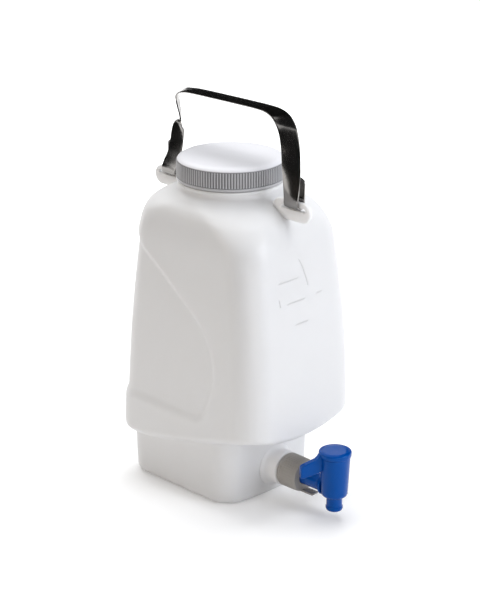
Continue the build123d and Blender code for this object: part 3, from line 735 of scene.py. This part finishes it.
def polished_steel():
    """Bright drawn stainless strip: faint lengthwise draw lines, light scuffs and a slow ripple. Its colour
    is painted dark as shade.
    """
    material = bpy.data.materials.new("polished_steel")
    material.use_nodes = True
    nodes, links = material.node_tree.nodes, material.node_tree.links
    shader = nodes["Principled BSDF"]
    shader.inputs["Metallic"].default_value = 1.0
    place = nodes.new("ShaderNodeTexCoord")
    stretch = nodes.new("ShaderNodeMapping")
    stretch.inputs["Scale"].default_value = (900, 40, 40)
    lines = nodes.new("ShaderNodeTexNoise")
    lines.inputs["Scale"].default_value = 1.0
    lines.inputs["Detail"].default_value = 4.0
    cloud = nodes.new("ShaderNodeTexNoise")
    cloud.inputs["Scale"].default_value = 60.0
    gloss = nodes.new("ShaderNodeMapRange")
    gloss.inputs["To Min"].default_value = 0.07
    gloss.inputs["To Max"].default_value = 0.24
    tone = nodes.new("ShaderNodeMapRange")
    tone.inputs["To Min"].default_value = 0.9
    tone.inputs["To Max"].default_value = 1.08
    tint = nodes.new("ShaderNodeVectorMath")
    tint.operation = "SCALE"
    # Painted shade: a colour far darker than bare stainless, standing in for the dark surroundings that the
    # strap mirrors.
    tint.inputs[0].default_value = (0.27, 0.26, 0.25)
    bump = nodes.new("ShaderNodeBump")
    bump.inputs["Strength"].default_value = 0.25
    bump.inputs["Distance"].default_value = 0.00003
    links.new(place.outputs["Object"], stretch.inputs["Vector"])
    links.new(stretch.outputs["Vector"], lines.inputs["Vector"])
    links.new(place.outputs["Object"], cloud.inputs["Vector"])
    links.new(lines.outputs[0], gloss.inputs["Value"])
    links.new(gloss.outputs["Result"], shader.inputs["Roughness"])
    links.new(cloud.outputs[0], tone.inputs["Value"])
    links.new(tone.outputs["Result"], tint.inputs["Scale"])
    links.new(tint.outputs["Vector"], shader.inputs["Base Color"])
    links.new(lines.outputs[0], bump.inputs["Height"])
    links.new(bump.outputs["Normal"], shader.inputs["Normal"])
    return material


steel = polished_steel()
settle(strap, "handle", steel, 45.0)
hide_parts("handle_strap")

# ---- Ring nut ----------------------------------------------------------------------------------------
# A grey moulded nut that draws the tap's flange against the port's gasket. Fine ribs give grip, and a
# springy tongue runs out under the tap's barrel and keeps it from turning.
nut_ribs = 48
nut_rib_rise = 0.4
tongue_width, tongue_length, tongue_thick = 9.0, 17.0, 2.0
tongue_drop = 14.6         # from the port's axis down to the tongue's middle
nut_angles = np.linspace(0, 2 * math.pi, nut_ribs * rib_points + 1)
nut_wave = np.where(np.arange(nut_ribs * rib_points + 1) % rib_points < 2, 1.0, 0.0)
nut_outline = [
    # radius, distance in front of the neck's axis, how far the ribs stand out there
    (11.4, 75.5, 0), (15.3, 75.5, 0), (16.1, 75.8, 0), (16.4, 76.6, 0), (16.4, 78.2, 0), (16.1, 78.6, 0),
    (16.0, 78.9, 0), (16.0, 79.3, 1), (15.9, 90.0, 1), (15.8, 95.4, 1), (15.8, 95.8, 0), (15.9, 96.2, 0),
    (15.6, 97.2, 0), (14.8, 98.0, 0), (8.4, 98.0, 0), (8.4, 93.6, 0), (12.0, 93.6, 0), (12.0, 88.0, 0),
    (11.4, 88.0, 0), (11.4, 75.5, 0)]
nut = wrapped("grey_ring_nut", [
    np.stack([(r + nut_rib_rise * rib * nut_wave) * np.cos(nut_angles), np.full(len(nut_wave), -y),
              port_z + (r + nut_rib_rise * rib * nut_wave) * np.sin(nut_angles)], 1)
    for r, y, rib in nut_outline])
close_seams(nut)
bpy.ops.object.select_all(action="DESELECT")
bpy.ops.mesh.primitive_cube_add(size=1.0, location=(0, -0.1025, (port_z - tongue_drop) * mm))
tongue = bpy.context.object
tongue.scale = (tongue_width * mm, tongue_length * mm, tongue_thick * mm)
bpy.ops.object.transform_apply(location=True, rotation=True, scale=True)
add_modifier(tongue, "BEVEL", width=0.7 * mm, segments=3)
nut = joined("grey_ring_nut", [nut, tongue])
nut_grey = plastic("nut_polypropylene", (0.34, 0.32, 0.295), 0.34, 0.0006, 0.00003, 0.05)
settle(nut, "bottle", nut_grey, 40.0)
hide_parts("ring_nut")

# ---- Tap body ----------------------------------------------------------------------------------------
# A glossy blue moulding: a tapered housing round the plug, a short outlet with a beaded end for a hose,
# and the barrel and flange that pass through the ring nut.
tap_y = -135.0
housing_outline = [
    # radius, height: outlet with its bead, tapered housing, bore, and the way down through the outlet
    (5.0, 8.6), (5.3, 8.1), (7.1, 8.0), (7.6, 8.5), (7.65, 9.3), (8.15, 9.8), (8.2, 10.8), (8.1, 11.6),
    (7.6, 12.1), (7.6, 20.6), (7.9, 21.6), (9.2, 22.1), (10.8, 22.6), (11.9, 23.7), (12.5, 25.2),
    (12.65, 27.0), (14.45, 61.4), (14.5, 62.2), (14.3, 62.8), (13.9, 63.0), (10.0, 63.0), (10.0, 25.2),
    (5.0, 25.2), (5.0, 8.6),
]
barrel_outline = [
    # radius, distance in front of the neck's axis: flange, barrel, and its flare into the housing
    (4.4, 90.6), (11.4, 90.6), (11.4, 93.3), (8.0, 93.3), (8.0, 116.8), (8.3, 118.8), (9.1, 120.6),
    (10.4, 122.2), (10.4, 124.6), (4.4, 124.6), (4.4, 90.6),
]
housing = wrapped("tap_housing", turned_upright(housing_outline, 0.0, tap_y))
close_seams(housing)
barrel = wrapped("tap_barrel", turned_along_y(barrel_outline))
close_seams(barrel)
housing = joined("tap_housing", [housing, barrel])
tap_blue = plastic("tap_blue_polypropylene", (0.0, 0.060, 0.31), 0.10, 0.0012, 0.00003, 0.05)
tap_blue.node_tree.nodes["Principled BSDF"].inputs["Specular IOR Level"].default_value = 0.4
tap_blue.node_tree.nodes["Principled BSDF"].inputs["Specular Tint"].default_value = (0.25, 0.55, 1.0, 1)
settle(housing, "bottle", tap_blue, 35.0)
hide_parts("tap_body")

# ---- Tap knob ----------------------------------------------------------------------------------------
# Plug, disc and lever are one glossy blue moulding. The disc has a turned groove near its rim, and the
# lever slopes down and out over a deep skirt.
knob_outline = [
    # radius, height: grooved disc, plug with its two ring grooves, and the plug's foot
    (0.0, 68.2), (4.0, 68.2), (10.6, 68.5), (12.2, 68.5), (12.5, 68.3), (12.8, 68.1), (13.1, 68.3),
    (13.4, 68.5), (14.3, 68.45), (14.9, 68.2), (15.3, 67.7), (15.5, 67.0), (15.5, 64.2), (15.3, 63.6),
    (14.9, 63.3), (9.95, 63.3), (9.95, 58.1), (8.1, 58.1), (8.1, 55.9), (9.95, 55.9), (9.95, 39.5),
    (8.1, 39.5), (8.1, 37.3), (9.95, 37.3), (9.95, 25.6), (0.0, 25.6),
]
knob = wrapped("tap_lever_knob", turned_upright(knob_outline, 0.0, tap_y))
close_seams(knob)
lever_off_barrel = 59      # degrees from lying back over the barrel
lever_angle = math.radians(90 + lever_off_barrel)
lever_rows = [
    # distance from the tap's axis, top, bottom, width
    (13.0, 66.6, 50.0, 6.0), (14.6, 66.9, 49.6, 6.4), (15.6, 66.2, 48.6, 6.6), (17.4, 63.6, 48.2, 6.6),
    (19.4, 61.9, 47.6, 6.6), (23.0, 60.4, 46.6, 6.6), (27.0, 58.8, 45.7, 6.6), (31.0, 57.2, 44.6, 6.6),
    (32.6, 56.4, 44.3, 6.5), (33.5, 55.6, 44.6, 6.1), (33.9, 54.8, 45.4, 5.4)]
lever_corner = 0.9
lever_rings = []
for reach, top, low, wide in lever_rows:
    ring = []
    for corner_x, corner_z, start in ((1, 1, 0), (-1, 1, 90), (-1, -1, 180), (1, -1, 270)):
        for turn in np.radians(np.linspace(start, start + 90, 5)):
            sideways = corner_x * (wide / 2 - lever_corner) + lever_corner * math.cos(turn)
            height = (top if corner_z > 0 else low) - corner_z * lever_corner + lever_corner * math.sin(turn)
            ring.append((sideways, height))
    ring = np.array(ring + ring[:1])
    # The lever runs along X here, and is turned to its place below.
    lever_rings.append(np.stack([np.full(len(ring), reach), ring[:, 0], ring[:, 1]], 1))
first, last = lever_rings[0], lever_rings[-1]    # each end is closed on its own middle
lever_rings = [first.mean(0) + 0 * first] + lever_rings + [last.mean(0) + 0 * last]
turned = []
for ring in lever_rings:
    x = ring[:, 0] * math.cos(lever_angle) - ring[:, 1] * math.sin(lever_angle)
    y = ring[:, 0] * math.sin(lever_angle) + ring[:, 1] * math.cos(lever_angle)
    turned.append(np.stack([x, tap_y + y, ring[:, 2]], 1))
lever = wrapped("tap_lever", turned)
close_seams(lever)
knob = joined("tap_lever_knob", [knob, lever])
settle(knob, "tap_plug", tap_blue, 35.0)
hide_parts("tap_knob")

# ---- Seals -------------------------------------------------------------------------------------------
# The black port gasket and the plug's two O-rings: plain moulded rubber with a dusty, uneven sheen.
rubber = plastic("seal_rubber", (0.028, 0.028, 0.03), 0.55, 0.0005, 0.00004, 0.12)
for seal in ("port_gasket", "plug_o_ring_upper", "plug_o_ring_lower"):
    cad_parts[seal].data.materials.clear()
    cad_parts[seal].data.materials.append(rubber)
